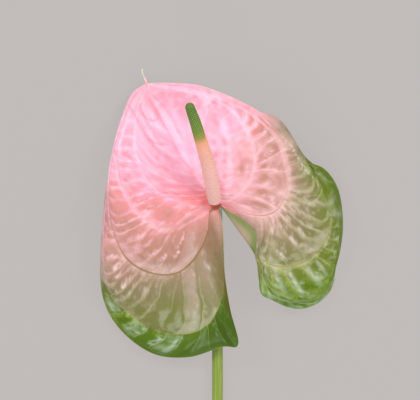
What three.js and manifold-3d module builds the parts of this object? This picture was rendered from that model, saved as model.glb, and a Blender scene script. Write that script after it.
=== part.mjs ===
// A cut anthurium lying face up on a table: a round green stem, a heart-shaped waxy spathe and a spadix.
// Millimetres, +Z up, the table at z = 0. The stem runs along Y to its cut end at -Y, and the spathe's
// tip points to +Y. The organs are laid out from the joint, where all three meet, and moved into place last.
import * as THREE from 'three';
import Module from 'manifold-3d';

// Driving dimensions
const joint = new THREE.Vector3(-2.75, 95.3, 22);  // where the organs meet; the box's foot is centred on 0
const stemLength = 260;             // from the joint to the cut end, along the table
const stemTopDiameter = 5.2;
const stemFootDiameter = 5.6;
const stemSides = 12;
const spatheThickness = 0.9;
const collarRadius = 3.25;           // the hole round the stem, at the middle of the blade
const spadixRise = 0.7;             // height gained for each millimetre of plan: about 35 degrees
const floretsRound = 13;
const floretRows = 56;
const floretHeight = 0.42;
const puffHeight = 0.55;            // how far the blade swells between its veins
const tableLevel = -joint.z;

const wasm = await Module();
wasm.setup();

// Nothing lies lower than the table, so what would dip below it is flat there.
const onTable = (point) => point.setZ(Math.max(point.z, tableLevel));

// A smooth curve through evenly spaced numbers; t runs from 0 at the first to 1 at the last.
function through(values, t) {
  const place = t * (values.length - 1);
  const i = Math.min(Math.floor(place), values.length - 2);
  const f = place - i;
  const pick = (k) => values[THREE.MathUtils.clamp(i + k, 0, values.length - 1)];
  const [a, b, c, d] = [pick(-1), pick(0), pick(1), pick(2)];
  return b + 0.5 * f * (c - a + f * (2 * a - 5 * b + 4 * c - d + f * (3 * (b - c) + d - a)));
}

// A closed geometry from its points and triangles; a triangle that has lost a corner is left out.
function closedGeometry(points, triangles) {
  const geometry = new THREE.BufferGeometry();
  geometry.setAttribute('position', new THREE.Float32BufferAttribute(points.flatMap((p) => p.toArray()), 3));
  geometry.setIndex(triangles.filter(([a, b, c]) => a !== b && b !== c && c !== a).flat());
  return geometry;
}

// A round body carried along a path: rings about it, closed at both ends to a point on the path.
// radius(t, ring, side) gives each point's distance from the path. Quads split along alternate diagonals.
function roundBody(path, rings, sides, radius) {
  const points = [];
  const triangles = [];
  for (let ring = 0; ring <= rings; ring += 1) {
    const t = ring / rings;
    const along = path.getTangentAt(t);
    const across = new THREE.Vector3(1, 0, 0).projectOnPlane(along).normalize();
    const over = new THREE.Vector3().crossVectors(along, across);
    for (let side = 0; side < sides; side += 1) {
      const angle = (2 * Math.PI * (side + 0.5)) / sides;
      const reach = radius(t, ring, side);
      points.push(onTable(path.getPointAt(t)
        .addScaledVector(across, reach * Math.cos(angle))
        .addScaledVector(over, reach * Math.sin(angle))));
    }
  }
  const at = (ring, side) => ring * sides + (side % sides);
  for (let ring = 0; ring < rings; ring += 1) {
    for (let side = 0; side < sides; side += 1) {
      const [a, b] = [at(ring, side), at(ring, side + 1)];
      const [d, c] = [at(ring + 1, side), at(ring + 1, side + 1)];
      const evenCorner = (ring + side) % 2 === 0;
      triangles.push(...(evenCorner ? [[a, b, d], [b, c, d]] : [[a, b, c], [a, c, d]]));
    }
  }
  const [foot, tip] = [points.length, points.length + 1];
  points.push(path.getPointAt(0), path.getPointAt(1));
  for (let side = 0; side < sides; side += 1) {
    triangles.push([foot, at(0, side + 1), at(0, side)]);
    triangles.push([tip, at(rings, side), at(rings, side + 1)]);
  }
  return closedGeometry(points, triangles);
}

const toManifold = (geometry) => new wasm.Manifold(new wasm.Mesh({
  numProp: 3,
  vertProperties: new Float32Array(geometry.attributes.position.array),
  triVerts: new Uint32Array(geometry.index.array),
}));

// Two closed geometries joined into one body.
function joined(first, second) {
  const mesh = toManifold(first).add(toManifold(second)).getMesh();
  const geometry = new THREE.BufferGeometry();
  geometry.setAttribute('position', new THREE.BufferAttribute(mesh.vertProperties, 3));
  geometry.setIndex(new THREE.BufferAttribute(mesh.triVerts, 1));
  return geometry;
}

const vectors = (list) => list.map(([x, y, z]) => new THREE.Vector3(x, y, z));

// Stem: straight up through the collar, bent over below it, then down to the table and along it.
function stemGeometry() {
  const restHeight = tableLevel + (stemFootDiameter / 2) * Math.cos(Math.PI / stemSides);
  const [seat, lean] = [spadixPath().getPoint(0), spadixPath().getTangent(0)];
  const route = new THREE.CatmullRomCurve3([
    ...[0.3, 1.2].map((below) => seat.clone().addScaledVector(lean, -below)),
    ...vectors([[-0.15, 0.4, 2.4], [0, 0, 0], [0, -0.3, -3.5], [0.05, -2.4, -7.4], [0.1, -7.5, -10.8]]),
    ...vectors([[0.1, -18, -13.4], [0.1, -40, -15.9], [0.2, -75, restHeight + 1.1]]),
    ...[-110, -150, -205, -stemLength].map((y) => new THREE.Vector3(-0.002 * y, y, restHeight)),
  ]);
  const rings = 56;
  return roundBody(route, rings, stemSides, (t) => (
    0.5 * THREE.MathUtils.lerp(stemTopDiameter, stemFootDiameter, Math.min(1, 1.6 * t))));
}

// Spadix: a spike that leans back over the spathe, thickest near a third of its length, round at its tip.
function spadixPath() {
  const plan = [[-0.8, 2.8], [-1.1, 4.8], [-1.85, 10.6], [-4.3, 22.4], [-7.5, 32.8], [-10.2, 42.1]];
  plan.push([-12.2, 48.0], [-13.1, 51.6]);
  let height = 4.3;
  return new THREE.CatmullRomCurve3(plan.map(([x, y], i) => {
    if (i > 0) height += spadixRise * Math.hypot(x - plan[i - 1][0], y - plan[i - 1][1]);
    return new THREE.Vector3(x, y, height);
  }));
}

function spadixRadius(t) {
  const trunk = through([3.3, 3.62, 3.78, 3.8, 3.68, 3.46, 3.2, 3.0, 2.85, 2.62, 2.3], t);
  const tipShare = THREE.MathUtils.clamp((t - 0.965) / 0.035, 0, 1);
  const footShare = THREE.MathUtils.clamp(1 - t / 0.02, 0, 1);
  return trunk * Math.sqrt(1 - 0.88 * tipShare ** 2) * (1 - 0.12 * footShare ** 2);
}

// Florets stand in slanting rows: every second point of the spike's rings is a peak, the rest are valleys.
function spadixGeometry() {
  return roundBody(spadixPath(), floretRows, 2 * floretsRound, (t, ring, side) => {
    const peak = (ring + side) % 2 === 1 ? 0 : 1;
    return spadixRadius(t) - floretHeight * (1 - peak);
  });
}

// The blade hangs on a net. Each row follows one vein loop from the joint, round its lobe, to the tip,
// with 17 stations; the right margin has two points to a station. Plan places from the joint.
const tip = [-35, 60.5];
const leftMargin = [
  [0, 0], [2.8, -9], [3.4, -21.5], [4, -35], [6.8, -52.5], [10.6, -68.8], [2.5, -70], [-14.5, -75.2],
  [-32.5, -73], [-48.4, -60.3], [-56.4, -43.8], [-57.4, -21.5], [-55.6, 3.4], [-52.7, 25], [-48.5, 42],
  [-43, 56.3], tip,
];
const leftOuter = [
  [0, 0], [1.5, -8.5], [2, -20.5], [2.8, -32.5], [2.5, -41.5], [1, -49], [-3, -57], [-11, -62.2],
  [-25.5, -63.2], [-41, -55.5], [-52.8, -42.5], [-56.3, -24.5], [-54.8, 4.5], [-52.2, 25], [-48, 41.5],
  [-42.6, 55.8], tip,
];
const leftLobe = [
  [0, 0], [-0.8, -4], [-1.5, -9], [-3, -14.5], [-5.2, -20], [-8.5, -25.2], [-13, -30], [-19.5, -34],
  [-28.5, -34.5], [-38.5, -31], [-46.5, -23.5], [-51.8, -11], [-53.8, 6], [-52, 25], [-47.8, 41],
  [-42, 55], tip,
];
const leftFront = [
  [0, 0], [-1.6, -1.2], [-3.5, -2.4], [-6.2, -3.9], [-9.5, -5.9], [-13.5, -8], [-17.5, -10], [-22.5, -11.5],
  [-28.5, -10.8], [-35, -7], [-41, -1.2], [-45.5, 6.5], [-48.8, 17], [-48.5, 28.5], [-45.5, 40.5],
  [-40.8, 53.5], tip,
];
const leftInner = [
  [0, 0], [-1.1, -0.2], [-2.5, -0.2], [-4.2, 0], [-6.5, 0.2], [-9.2, 0.5], [-12.5, 1.2], [-16.2, 2.2],
  [-20.5, 3.5], [-25.2, 5.5], [-30, 8.5], [-34.8, 13.5], [-38.8, 21], [-40.8, 30], [-40.5, 40.5],
  [-38.5, 52], tip,
];
const midrib = [
  [0, 0], [-0.6, 0.9], [-1.2, 1.8], [-1.8, 2.8], [-2.5, 3.8], [-3.2, 4.9], [-4, 6], [-5, 7.4], [-6.1, 9],
  [-7.4, 10.9], [-9, 13.3], [-11.2, 16.6], [-14.4, 21.5], [-18.9, 28.8], [-24.5, 38.6], [-30.3, 50.2], tip,
];
const rightInner = [
  [0, 0], [1.2, 1], [2.5, 1.8], [4, 2.5], [5.8, 3.2], [7.8, 4.2], [10, 5.8], [12.5, 8], [15, 11], [17, 15],
  [18.5, 20], [18.8, 26.5], [17, 33], [13, 41], [4, 50.5], [-13.5, 57], tip,
];
const rightFront = [
  [0, 0], [6.3, -0.1], [11, -2], [16.8, -3.7], [21.8, -4.2], [25.8, -3.6], [28.9, -2.2], [31.3, 0.2],
  [33.2, 3.2], [34.7, 7], [35.6, 12.3], [35, 19.5], [32.5, 28.5], [27.5, 37], [11.5, 49.4], [-12.2, 58.1], tip,
];
const rightLobe = [
  [0, 0], [7, -3], [12.2, -7.5], [16.3, -12.6], [19.5, -18.6], [21.6, -24.4], [26.5, -28.5], [35.5, -29.7],
  [45.5, -26.2], [53.2, -18.4], [56.5, -7.5], [52, 8.5], [42, 22.5], [34, 33.5], [15.5, 49], [-11, 59.3], tip,
];
const rightOuter = [
  [0, 0], [5, -5.6], [9.2, -12.8], [13.8, -18.2], [18, -22.3], [22.1, -29], [24.9, -38], [34, -44.7],
  [49.5, -45.5], [58, -29.5], [60.5, -10.5], [57, 10], [44, 22.8], [36, 34], [18, 48.7], [-9.7, 60.2], tip,
];
const rightMargin = [
  [0, 0], [2.2, -5], [3, -9], [4.2, -13], [5.6, -17], [8, -20.4], [11.5, -22.3], [15, -23.5], [18, -24.8],
  [19.9, -28.2], [20.9, -35.5], [22.2, -43.5], [28, -46.8], [35, -50], [42, -51], [49, -49], [54.5, -45],
  [58.2, -39], [59.5, -30.5], [61.5, -22.5], [63, -11.5], [62.5, 0], [60, 10.5],
  [53.8, 19], [45.5, 22.8], [40.8, 28], [37.5, 34], [29.6, 43.4], [19.2, 48], [6.2, 54.7], [-8.6, 60.3],
  [-23.5, 61.5], tip,
];
const net = [
  leftMargin, leftOuter, leftLobe, leftFront, leftInner, midrib,
  rightInner, rightFront, rightLobe, rightOuter, rightMargin,
];
// The rows leave the joint all round it, from the left margin the long way to the right one, and come in
// round the tip; both in degrees. They start and end a little way off, so that no two share a point.
const leavingAngles = [-64, -78, -102, -142, -172, -240, -322, -358, -372, -382, -392];
const arrivingAngles = [212, 222, 234, 246, 262, 297, 326, 342, 351, 358, 365];
const [startRadius, endRadius] = [0.2, 1];
net.forEach((row, i) => {
  const [leave, arrive] = [leavingAngles[i], arrivingAngles[i]].map(THREE.MathUtils.degToRad);
  row[0] = [startRadius * Math.cos(leave), startRadius * Math.sin(leave)];
  row[row.length - 1] = [tip[0] + endRadius * Math.cos(arrive), tip[1] + endRadius * Math.sin(arrive)];
});
const bands = net.length - 1;
const rowsEachSide = bands / 2;
const stations = leftMargin.length - 1;

// Heights above the table along the midrib and along each margin, station by station.
const crownHeights = [22, 22, 22.1, 22.3, 22.6, 22.9, 23.3, 23.7, 24.1, 24.5, 24.8, 24.7, 23.8, 21.5, 17, 10.5, 3.6];
const leftHeights = [22, 21, 19.5, 18, 16.5, 15.5, 12.5, 8, 5, 2.5, 0.7, -0.1, 0.4, 1.6, 2.6, 3.2, 3.6];
const rightHeights = [22, 21.5, 21, 20, 17.5, 13.5, 9, 6, 3, -0.1, 1.6, 6, 9.5, 6.5, 7.5, 6, 3.6];
const drape = 2.6;                  // how late the blade falls away between midrib and margin
const ribLean = 0.9;                // stations that a rib moves towards the tip in each band
const ribsOnASide = 15;

// The blade's middle surface: u runs from the joint to the tip, w across the rows from left to right. Between
// two rows it follows a curve drawn through the four nearest ones by their true distances.
function bladePoint(u, w) {
  const easing = THREE.MathUtils.smoothstep(u, 0.2, 0.55) * (1 - THREE.MathUtils.smoothstep(u, 0.55, 1));
  const places = net.map((row, i) => Math.min(1, u + (ribLean / stations) * easing * Math.abs(i - rowsEachSide)));
  const rowPoints = net.map((row, i) => new THREE.Vector2(
    through(row.map((p) => p[0]), places[i]), through(row.map((p) => p[1]), places[i])));
  const widths = rowPoints.slice(1).map((p, i) => p.distanceTo(rowPoints[i]));
  const band = Math.min(Math.floor(w), bands - 1);
  const share = w - band;
  const slope = (i) => {
    const [before, after] = [Math.max(i - 1, 0), Math.min(i + 1, bands)];
    const chord = rowPoints[after].clone().sub(rowPoints[before]);
    return chord.multiplyScalar(widths[band] / (widths[before] + (after - before > 1 ? widths[i] : 0)));
  };
  const [a, b] = [rowPoints[band], rowPoints[band + 1]];
  const [leaving, arriving] = [slope(band), slope(band + 1)];
  const bent = leaving.multiplyScalar(share * (1 - share) ** 2)
    .addScaledVector(arriving, -(share ** 2) * (1 - share));
  const place = a.clone().lerp(b, share ** 2 * (3 - 2 * share)).add(bent);
  const between = (from, to) => widths.slice(from, to).reduce((sum, width) => sum + width, 0);
  const fromLeft = between(0, band) + share * widths[band];
  const leftWidth = between(0, rowsEachSide);
  const onLeft = w < rowsEachSide;
  const outward = Math.abs(fromLeft - leftWidth) / (onLeft ? leftWidth : between(rowsEachSide, bands));
  const station = Math.min(1, u + (ribLean / stations) * easing * outward * rowsEachSide);
  const edge = through(onLeft ? leftHeights : rightHeights, station);
  const height = THREE.MathUtils.lerp(through(crownHeights, u), edge, outward ** drape) - joint.z;
  const fromJoint = place.length();
  const opened = 1 + collarRadius / fromJoint / (1 + (fromJoint / collarRadius) ** 2);
  const point = new THREE.Vector3(place.x * opened, place.y * opened, height);
  return w > bands - 2.5 && u < 0.5 ? rolled(point) : point;
}

// The right lobe's inner margin is rolled over along a line out of the joint, which bends down the cleft.
// What lies beyond the line goes up round a small radius and back over the blade, its length kept.
const rollRadius = 1.3;
const rollTurn = 0.93 * Math.PI;
const rollStart = new THREE.Vector2(3.2, -1);
const rollHeading = new THREE.Vector2(0.594, -0.804);
const rollOutward = new THREE.Vector2(-0.804, -0.594);
const rollBendsAt = 28;

function rolled(point) {
  const place = new THREE.Vector2(point.x, point.y).sub(rollStart);
  const past = place.dot(rollHeading) - rollBendsAt;
  const length = place.dot(rollOutward) - 0.42 * (past + Math.hypot(past, 2)) + rollRadius;
  if (length <= 0) return point;
  const angle = Math.min(length / rollRadius, rollTurn);
  const rest = length - angle * rollRadius;
  const reach = rollRadius * Math.sin(angle) + rest * Math.cos(angle) - length;
  const lift = rollRadius * (1 - Math.cos(angle)) + rest * Math.sin(angle);
  return point.add(new THREE.Vector3(rollOutward.x * reach, rollOutward.y * reach, lift));
}

function bladeNormal(u, w) {
  const step = 0.004;
  const alongU = bladePoint(Math.min(u + step / 2, 1), w).sub(bladePoint(Math.max(u - step / 2, 0.001), w));
  const alongW = bladePoint(u, Math.min(w + 0.04, bands)).sub(bladePoint(u, Math.max(w - 0.04, 0)));
  const normal = new THREE.Vector3().crossVectors(alongW, alongU).normalize();
  return normal.lerp(new THREE.Vector3(0, 0, 1), THREE.MathUtils.smoothstep(u, 0.88, 1)).normalize();
}

// The blade puffs up between the vein loops, and is drawn in again at each rib that crosses a band.
function puff(u, w) {
  const acrossBand = Math.abs(Math.sin(Math.PI * w));
  const alongRibs = 0.35 + 0.65 * Math.abs(Math.sin(Math.PI * ribsOnASide * u));
  const calm = THREE.MathUtils.smoothstep(u, 0.1, 0.3) * (1 - THREE.MathUtils.smoothstep(u, 0.85, 1));
  const bandWidth = bladePoint(u, Math.min(w + 0.5, bands)).distanceTo(bladePoint(u, Math.max(w - 0.5, 0)));
  return puffHeight * acrossBand * alongRibs * calm * Math.min(1, bandWidth / 8);
}

// Spathe: the blade's two faces, alike in their triangles, closed round the edge, with the dried tip thread.
function spatheGeometry() {
  const [columns, lengths] = [4 * bands, 61];
  const points = [];
  const triangles = [];
  for (let j = 0; j <= lengths; j += 1) {
    for (let i = 0; i <= columns; i += 1) {
      const [u, w] = [Math.max(j / lengths, 0.002), (bands * i) / columns];
      const [middle, normal, swell] = [bladePoint(u, w), bladeNormal(u, w), puff(u, w)];
      [0.5, -0.5].forEach((face) => {
        points.push(onTable(middle.clone().addScaledVector(normal, swell + face * spatheThickness)));
      });
    }
  }
  const at = (i, j, face) => 2 * (j * (columns + 1) + i) + face;
  for (let j = 0; j < lengths; j += 1) {
    for (let i = 0; i < columns; i += 1) {
      [0, 1].forEach((face) => {
        const [a, b, c, d] = [at(i, j, face), at(i + 1, j, face), at(i + 1, j + 1, face), at(i, j + 1, face)];
        const pair = (i + j) % 2 ? [[a, b, c], [a, c, d]] : [[a, b, d], [b, c, d]];
        triangles.push(...pair.map((corners) => (face ? corners.reverse() : corners)));
      });
    }
    triangles.push([at(0, j, 0), at(0, j + 1, 0), at(0, j, 1)], [at(0, j, 1), at(0, j + 1, 0), at(0, j + 1, 1)]);
    const edge = columns;
    triangles.push([at(edge, j, 0), at(edge, j, 1), at(edge, j + 1, 0)]);
    triangles.push([at(edge, j, 1), at(edge, j + 1, 1), at(edge, j + 1, 0)]);
  }
  const end = lengths;
  for (let i = 0; i < columns; i += 1) {
    triangles.push([at(i, 0, 0), at(i, 0, 1), at(i + 1, 0, 0)], [at(i + 1, 0, 0), at(i, 0, 1), at(i + 1, 0, 1)]);
    triangles.push([at(i, end, 0), at(i + 1, end, 0), at(i, end, 1)]);
    triangles.push([at(i + 1, end, 0), at(i + 1, end, 1), at(i, end, 1)]);
  }
  return joined(closedGeometry(points, triangles), threadGeometry());
}

// The dried thread that ends the midrib, rooted in the blade and curling up from the table.
function threadGeometry() {
  const rise = tableLevel + 3.6;
  const route = new THREE.CatmullRomCurve3(vectors([
    [-34.2, 59, rise + 0.3], [-35.3, 61.5, rise], [-35.7, 63, rise + 0.2], [-36.4, 64.8, rise + 0.7],
    [-37.2, 66.8, rise + 1.5], [-37.5, 68, rise + 2.1], [-37.4, 69.2, rise + 2.9],
  ]));
  return roundBody(route, 10, 6, (t) => through([0.8, 0.75, 0.5, 0.42, 0.4, 0.36], t));
}

const organ = (name, geometry, color, roughness) => {
  const mesh = new THREE.Mesh(geometry, new THREE.MeshStandardMaterial({ color, roughness, metalness: 0 }));
  mesh.name = name;
  mesh.position.copy(joint);
  return mesh;
};

const flower = new THREE.Group();
flower.add(organ('stem', stemGeometry(), '#8c9f41', 0.45));
flower.add(organ('spathe', spatheGeometry(), '#f2a9b4', 0.3));
flower.add(organ('spadix', spadixGeometry(), '#e6b49c', 0.55));
export default flower;
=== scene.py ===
import bpy
import numpy as np
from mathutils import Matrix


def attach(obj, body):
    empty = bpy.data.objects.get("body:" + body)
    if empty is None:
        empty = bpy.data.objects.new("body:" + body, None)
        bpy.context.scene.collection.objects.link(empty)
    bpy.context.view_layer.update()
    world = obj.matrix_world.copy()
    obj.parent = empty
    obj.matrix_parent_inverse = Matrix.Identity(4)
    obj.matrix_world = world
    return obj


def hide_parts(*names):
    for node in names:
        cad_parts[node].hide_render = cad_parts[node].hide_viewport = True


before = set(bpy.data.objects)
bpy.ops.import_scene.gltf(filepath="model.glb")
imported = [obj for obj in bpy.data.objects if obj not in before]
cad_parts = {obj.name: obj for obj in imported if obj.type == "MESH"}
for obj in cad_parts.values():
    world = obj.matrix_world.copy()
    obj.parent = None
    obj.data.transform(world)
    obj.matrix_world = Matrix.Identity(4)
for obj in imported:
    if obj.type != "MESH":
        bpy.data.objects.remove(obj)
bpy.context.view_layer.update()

# ---- The view ----
# A look from straight above, from far enough away for all parts to keep their proportions.
JOINT = np.array([-2.75, 95.3, 22.0])  # mm: where stem, spathe and spadix meet; all shapes start from it
CAMERA_HEIGHT = 4.0
FIELD_WIDTH = 0.210  # metres across the view, at the height of the blade
BLADE_HEIGHT = 0.014
ASIDE = 3.5  # mm that the view's middle lies left of the joint, and above it

camera_data = bpy.data.cameras.new("camera")
camera_data.sensor_width = 36.0
camera_data.lens = camera_data.sensor_width * (CAMERA_HEIGHT - BLADE_HEIGHT) / FIELD_WIDTH
camera_data.clip_start = 0.1
scene = bpy.context.scene
camera = bpy.data.objects.new("camera", camera_data)
camera.location = ((JOINT[0] - ASIDE) / 1000, (JOINT[1] + ASIDE) / 1000, CAMERA_HEIGHT)
scene.collection.objects.link(camera)
scene.camera = camera
scene.view_settings.view_transform = "Standard"


# ---- The surface and the light ----
# A wide sheet of plain warm grey card, lit evenly from all round. Three soft boxes, to the upper right, the
# upper left and the front, give the gloss that the wax of the spathe mirrors.
CARD_REACH = 3.0  # metres from the card's middle to its edge
SOFTBOX_SIZE = 0.7  # metres


class Wire:
    """One socket of a material. Arithmetic on wires and numbers adds Math nodes, node() adds any other."""

    def __init__(self, tree, socket=None):
        self.tree, self.socket = tree, socket

    def node(self, kind, sockets, out=0, stops=(), **settings):
        """A new node: its settings are set first, then its ramp's stops, then its sockets."""
        made = self.tree.nodes.new("ShaderNode" + kind)
        for name, value in settings.items():
            setattr(made, name, value)
        for count, (place, *colour) in enumerate((*stops[:1], *stops[-1:], *stops[1:-1])):
            ramp = made.color_ramp.elements
            stop = ramp[count] if count < 2 else ramp.new(place)
            stop.position, stop.color = place, srgb(*colour)
        for name, value in sockets.items():
            if isinstance(value, Wire):
                self.tree.links.new(value.socket, made.inputs[name])
            else:
                made.inputs[name].default_value = value
        return Wire(self.tree, None if out is None else made.outputs[out])

    def math(self, operation, *others):
        """This number and the others, put through one Math node."""
        return self.node("Math", dict(enumerate((self, *others))), operation=operation)

    def __add__(self, other):
        return self.math("ADD", other)

    def __sub__(self, other):
        return self.math("SUBTRACT", other)

    def __mul__(self, other):
        return self.math("MULTIPLY", other)

    def __rsub__(self, other):
        return self.node("Math", {0: other, 1: self}, operation="SUBTRACT")

    __radd__, __rmul__ = __add__, __mul__

    def step(self, low, high):
        """0 below low, 1 above high and a smooth rise between; low may be the greater."""
        return self.node("MapRange", {"Value": self, "From Min": low, "From Max": high},
                         interpolation_type="SMOOTHSTEP")

    def ramp(self, *stops):
        """The colour at this number on a ramp; each stop is a place and a colour in steps of 255."""
        return self.node("ValToRGB", {"Fac": self}, stops=stops)

    def blend(self, other, amount):
        """This colour, turning into the other one by amount."""
        return self.node("Mix", {0: amount, 6: self, 7: other}, out=2, data_type="RGBA")


def srgb(*colour):
    """A colour given in steps of 255 as a screen shows it, as the linear light that the shader wants."""
    shares = [v / 255 for v in colour]
    return (*(v / 12.92 if v < 0.04045 else ((v + 0.055) / 1.055) ** 2.4 for v in shares), 1.0)


def new_material(name):
    """An empty material, the wire that starts its node tree, and the places on its piece."""
    material = bpy.data.materials.new(name)
    material.use_nodes = True
    material.node_tree.nodes.clear()
    start = Wire(material.node_tree)
    return material, start, start.node("TexCoord", {}, out="Object")


def finish_material(start, **sockets):
    """Closes a material with its Principled shader; socket names are written with _ for a space."""
    named = {name.replace("_", " "): value for name, value in sockets.items()}
    shader = start.node("BsdfPrincipled", named)
    start.node("OutputMaterial", {"Surface": shader}, out=None)


def softbox(name, place, power):
    """A square area lamp at a place in metres from the joint, turned to face it, with its power in watts."""
    lamp_data = bpy.data.lights.new(name, "AREA")
    lamp_data.shape = "SQUARE"
    lamp_data.size = SOFTBOX_SIZE
    lamp_data.energy = power
    lamp = bpy.data.objects.new(name, lamp_data)
    aim = np.array(place, float)
    lamp.location = aim + JOINT / 1000
    azimuth, height = np.arctan2(aim[1], aim[0]), np.arctan2(np.hypot(aim[0], aim[1]), aim[2])
    lamp.rotation_euler = (0.0, height, azimuth)
    scene.collection.objects.link(lamp)


card, paint, _ = new_material("card")
finish_material(paint, Base_Color=srgb(66, 64, 63), Roughness=0.9, Specular_IOR_Level=0.1,
                Emission_Color=srgb(192, 187, 184), Emission_Strength=0.87)
floor_mesh = bpy.data.meshes.new("floor")
floor_mesh.from_pydata([(x * CARD_REACH, y * CARD_REACH, 0) for x, y in ((-1, -1), (1, -1), (1, 1), (-1, 1))],
                       [], [(0, 1, 2, 3)])
floor_mesh.materials.append(card)
floor = bpy.data.objects.new("floor", floor_mesh)
scene.collection.objects.link(floor)

world = bpy.data.worlds.new("daylight")
world.use_nodes = True
background = world.node_tree.nodes["Background"].inputs
background["Color"].default_value, background["Strength"].default_value = (1, 1, 1, 1), 0.5
scene.world = world
softbox("key", (0.9, 0.6, 1.1), 13.0)
softbox("fill", (-1.0, 0.8, 1.1), 11.0)
softbox("low_fill", (-0.1, -1.2, 0.9), 8.0)


# ---- Stem ----
# The flower's round stalk, firm green tissue with fine lengthwise grain, cut square at its foot. Its top
# comes up through the spathe's collar and carries the spadix.
STEM_LENGTH = 260.0
STEM_NECK, STEM_TOP, STEM_FOOT = 1.75, 2.6, 2.8  # mm, radii: in the collar, below it and at the cut
STEM_SIDES, STEM_RINGS = 48, 480


def smooth_path(stops, count):
    """Evenly spaced points on a centripetal Catmull-Rom curve: from stop to stop, the cubic whose slopes at
    them weigh the neighbouring chords by the square roots of their lengths."""
    stops = np.asarray(stops, float)
    stops = np.vstack([2 * stops[0] - stops[1], stops, 2 * stops[-1] - stops[-2]])
    gaps = np.sqrt(np.linalg.norm(np.diff(stops, axis=0), axis=1))[:, None]
    chords = np.diff(stops, axis=0)
    slopes = (chords[:-1] / gaps[:-1] - (chords[:-1] + chords[1:]) / (gaps[:-1] + gaps[1:])
              + chords[1:] / gaps[1:])
    share = np.linspace(0, 1, 65)[:-1, None, None]  # 64 places from each stop to the next
    start, end, gap = stops[1:-2], stops[2:-1], gaps[1:-1]
    curve = (start + (end - start) * share ** 2 * (3 - 2 * share)
             + slopes[:-1] * gap * share * (1 - share) ** 2 - slopes[1:] * gap * share ** 2 * (1 - share))
    curve = np.vstack([curve.transpose(1, 0, 2).reshape(-1, 3), stops[-2]])
    length = np.r_[0, np.cumsum(np.linalg.norm(np.diff(curve, axis=0), axis=1))]
    places = np.linspace(0, length[-1], count)
    return np.stack([np.interp(places, length, curve[:, axis]) for axis in range(3)], axis=1)


def rings_about(path, radii, angles):
    """Points at the given radii round a path: across is the X axis made square to the path, over is square
    to both, and each point is path + radius * (across * cos(angle) + over * sin(angle))."""
    along = np.gradient(path, axis=0)
    along /= np.linalg.norm(along, axis=1)[:, None]
    across = np.array([1.0, 0.0, 0.0]) - along * along[:, :1]
    across /= np.linalg.norm(across, axis=1)[:, None]
    over = np.cross(along, across)
    return (path[:, None] + radii[..., None] * (across[:, None] * np.cos(angles)[..., None]
                                                + over[:, None] * np.sin(angles)[..., None]))


def quads(numbers):
    """Four-cornered faces between neighbouring rows and columns of a grid of point numbers."""
    low, high = numbers[:-1], numbers[1:]
    return np.stack([low[:, :-1], low[:, 1:], high[:, 1:], high[:, :-1]], -1).reshape(-1, 4)


def make_piece(name, points, faces, material, node):
    """A smooth-shaded mesh from points in mm from the joint, none below the surface it lies on, and from
    arrays of faces with as many corners each. It stands for a node of the frame."""
    mesh = bpy.data.meshes.new(name)
    points = points.reshape(-1, 3) + JOINT
    points[:, 2] = np.maximum(points[:, 2], 0.0)
    mesh.from_pydata((points / 1000).tolist(), [], [face for alike in faces for face in alike.tolist()])
    mesh.polygons.foreach_set("use_smooth", np.ones(len(mesh.polygons), bool))
    mesh.materials.append(material)
    mesh.update()
    piece = bpy.data.objects.new(name, mesh)
    scene.collection.objects.link(piece)
    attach(piece, "root")
    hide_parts(node)
    return piece


def closed_tube(points):
    """Faces of a tube from its grid of ring points, with each end closed by one flat face."""
    rings, sides = points.shape[:2]
    numbers = np.arange(rings * sides).reshape(rings, sides)
    wall = quads(np.hstack([numbers, numbers[:, :1]]))
    return wall, numbers[:1, ::-1], numbers[-1:]


def note(piece, name, values):
    """Stores one number for each point of a piece's mesh."""
    stored = piece.data.attributes.new(name, "FLOAT", "POINT").data
    stored.foreach_set("value", np.asarray(values, np.float32).ravel())


def noted(name):
    """A number stored in the mesh that carries the material now being built."""
    return paint.node("Attribute", {}, out="Fac", attribute_name=name)


def noise(scale, detail, **sockets):
    """Cloudy noise round 0.5, with about this many clouds to the metre, for the same material."""
    return paint.node("TexNoise", {"Vector": place, "Scale": scale, "Detail": detail, **sockets}, out="Fac")


rest_height = STEM_FOOT - JOINT[2]
spadix_seat, spadix_aim = np.array([-0.8, 2.8, 4.3]), np.array([-0.112, 0.806, 0.581])
stem_path = smooth_path(
    [spadix_seat - 0.3 * spadix_aim, spadix_seat - 1.2 * spadix_aim, (-0.3, 1.1, 2.4), (-0.1, 0.7, 0),
     (0, 0.1, -3.5), (0.05, -2.4, -7.4), (0.1, -7.5, -10.8), (0.1, -18, -13.4), (0.1, -40, -15.9),
     (0.2, -75, rest_height + 1.1)]
    + [(-0.002 * y, y, rest_height) for y in (-110, -150, -205, -STEM_LENGTH)], STEM_RINGS)
along_stem = np.linspace(0, 1, len(stem_path))
stem_angles = 2 * np.pi * np.arange(STEM_SIDES) / STEM_SIDES
from_top = along_stem * np.linalg.norm(np.diff(stem_path, axis=0), axis=1).sum()
stem_radii = np.interp(from_top, [1.5, 3, 4.5, 6, 9, 150, 300],
                       [STEM_NECK, 2.05, 2.15, STEM_NECK, STEM_TOP, STEM_FOOT, STEM_FOOT])[:, None]
grain = 0.03 * np.sin(9 * stem_angles + 1.5 * np.sin(6 * along_stem)[:, None])  # nine faint ridges
stem_points = rings_about(stem_path, stem_radii + grain, stem_angles)

stalk, paint, place = new_material("stalk")
stretched = paint.node("Mapping", {"Vector": place, "Scale": (900.0, 25.0, 900.0)})
fibres = noise(1.0, 3.0, Vector=stretched)
flecks = noise(420.0, 2.0)
green = fibres.ramp((0.3, 108, 130, 42), (0.5, 130, 150, 56), (0.7, 150, 168, 74))
green = green.blend(srgb(176, 186, 110), flecks.step(0.62, 0.8) * 0.5)
bump = paint.node("Bump", {"Strength": 0.25, "Distance": 0.0003, "Height": fibres})
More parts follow.
